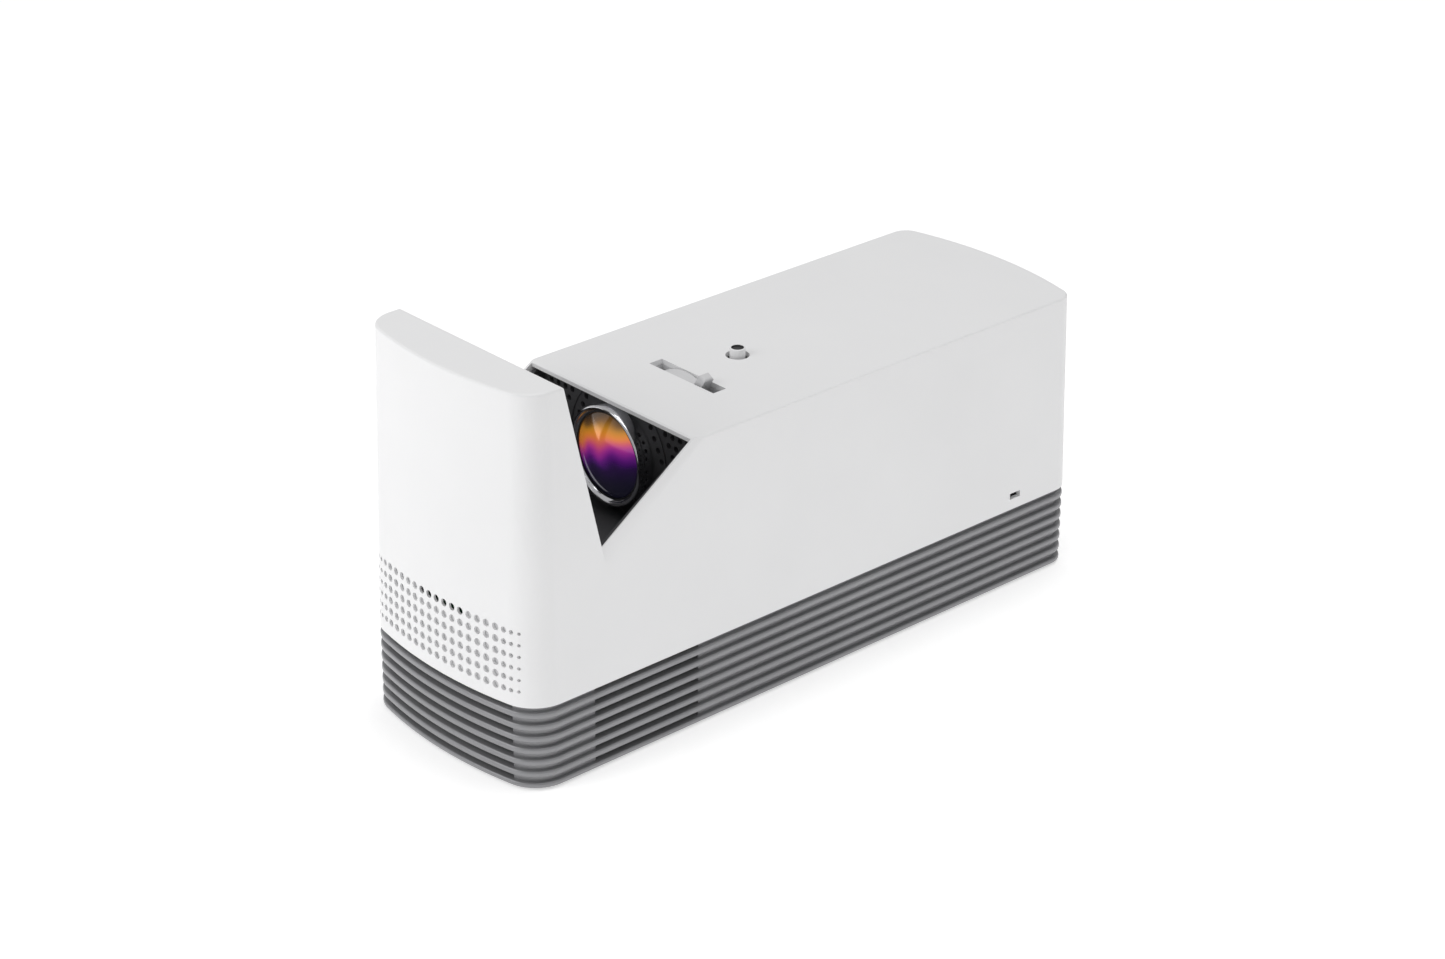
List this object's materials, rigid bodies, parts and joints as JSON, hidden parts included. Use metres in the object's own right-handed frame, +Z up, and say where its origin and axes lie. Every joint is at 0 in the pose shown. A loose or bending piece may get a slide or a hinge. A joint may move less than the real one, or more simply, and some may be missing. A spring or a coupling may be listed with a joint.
{
  "type": "home projector",
  "caption": "Ultra short throw home projector: long white case with a raised mirror wall, side notch, dot vent, silver louvred base, black lens bay, coated lens, focus lever and joystick.",
  "frame": {"origin": "middle of the base, on the surface that the feet rest on", "axes": "+Z up, -Y to the mirror wall at the front, +Y to the socket panel at the rear, +X to the right seen from the front looking along +Y"},
  "size_m": [0.118, 0.353, 0.1893],
  "materials": {
    "white_shell": "satin white moulded plastic",
    "silver_louvre": "silver-grey painted plastic",
    "bay_black": "fine matt black plastic",
    "black_plastic": "black glass-filled plastic",
    "light_grey_plastic": "light grey moulded plastic",
    "knob_white": "white plastic",
    "dark_window": "dark infrared window",
    "lens_ring": "bright turned ring",
    "lens_glass": "coated optical glass",
    "mirror_glass": "front-surface mirror",
    "aluminium": "cast and machined aluminium",
    "steel": "bright steel",
    "brass": "gold-plated copper block",
    "phosphor": "yellow phosphor disc",
    "circuit_board": "green circuit board",
    "cone_paper": "dark paper",
    "rubber": "soft black rubber"
  },
  "bodies": {
    "housing": {"upper_housing": "white_shell", "lower_housing": "silver_louvre", "bay_liner": "bay_black", "lens_bulkhead": "bay_black", "mirror_frame": "bay_black", "louvre_filters": "bay_black", "lens_barrel": "black_plastic", "lens_retainers": "black_plastic", "joystick_base": "black_plastic", "intake_fan_frame": "black_plastic", "exhaust_fan_frame": "black_plastic", "socket_panel": "black_plastic", "optical_socket": "black_plastic", "dc_jack": "black_plastic", "speaker_baskets": "black_plastic", "focus_slot_collar": "light_grey_plastic", "front_vent_mesh": "light_grey_plastic", "sensor_window": "dark_window", "lens_front_ring": "lens_ring", "front_element": "lens_glass", "second_element": "lens_glass", "third_element": "lens_glass", "rear_element": "lens_glass", "relay_lenses": "lens_glass", "prism": "lens_glass", "mirror": "mirror_glass", "lens_flange": "aluminium", "laser_heatsink": "aluminium", "light_engine_housing": "aluminium", "mirror_bracket": "steel", "mirror_screws": "steel", "case_screws": "steel", "wheel_motor": "steel", "hdmi_sockets": "steel", "usb_sockets": "steel", "lan_socket": "steel", "board_standoffs": "steel", "joystick_posts": "steel", "lock_slot_plate": "steel", "laser_module": "brass", "main_board": "circuit_board", "power_board": "circuit_board", "joystick_board": "circuit_board", "socket_board": "circuit_board", "sensor_board": "circuit_board", "micromirror_board": "circuit_board", "speaker_cones": "cone_paper", "rubber_feet": "rubber"},
    "focus_ring": {"focus_ring": "light_grey_plastic"},
    "joystick_gimbal": {"joystick_gimbal": "black_plastic"},
    "joystick_stem": {"joystick_stem": "steel"},
    "joystick_cap": {"joystick_cap": "knob_white"},
    "intake_fan_rotor": {"intake_fan_rotor": "black_plastic"},
    "exhaust_fan_rotor": {"exhaust_fan_rotor": "black_plastic"},
    "phosphor_wheel": {"phosphor_wheel": "phosphor"}
  },
  "joints": [
    {"name": "focus_turn", "type": "hinge", "parent": "housing", "child": "focus_ring", "pos_m": [0, -0.0331, 0.115], "axis": [0, 1, 0], "range_deg": [-50, 6]},
    {"name": "joystick_tilt_x", "type": "hinge", "parent": "housing", "child": "joystick_gimbal", "pos_m": [0.0025, -0.0004, 0.1332], "axis": [1, 0, 0], "range_deg": [-6, 6], "stiffness_Nm_per_rad": 0.02},
    {"name": "joystick_tilt_y", "type": "hinge", "parent": "joystick_gimbal", "child": "joystick_stem", "pos_m": [0.0025, -0.0004, 0.1332], "axis": [0, 1, 0], "range_deg": [-6, 6], "stiffness_Nm_per_rad": 0.02},
    {"name": "joystick_press", "type": "slide", "parent": "joystick_stem", "child": "joystick_cap", "axis": [0, 0, -1], "range_m": [0, 0.0005], "stiffness_N_per_m": 800},
    {"name": "intake_fan_spin", "type": "hinge", "parent": "housing", "child": "intake_fan_rotor", "pos_m": [0, -0.145, 0.044], "axis": [0, 1, 0], "continuous": true},
    {"name": "exhaust_fan_spin", "type": "hinge", "parent": "housing", "child": "exhaust_fan_rotor", "pos_m": [0, 0.141, 0.033], "axis": [0, 1, 0], "continuous": true},
    {"name": "phosphor_wheel_spin", "type": "hinge", "parent": "housing", "child": "phosphor_wheel", "pos_m": [0, 0.0526, 0.1], "axis": [0, 1, 0], "continuous": true}
  ]
}
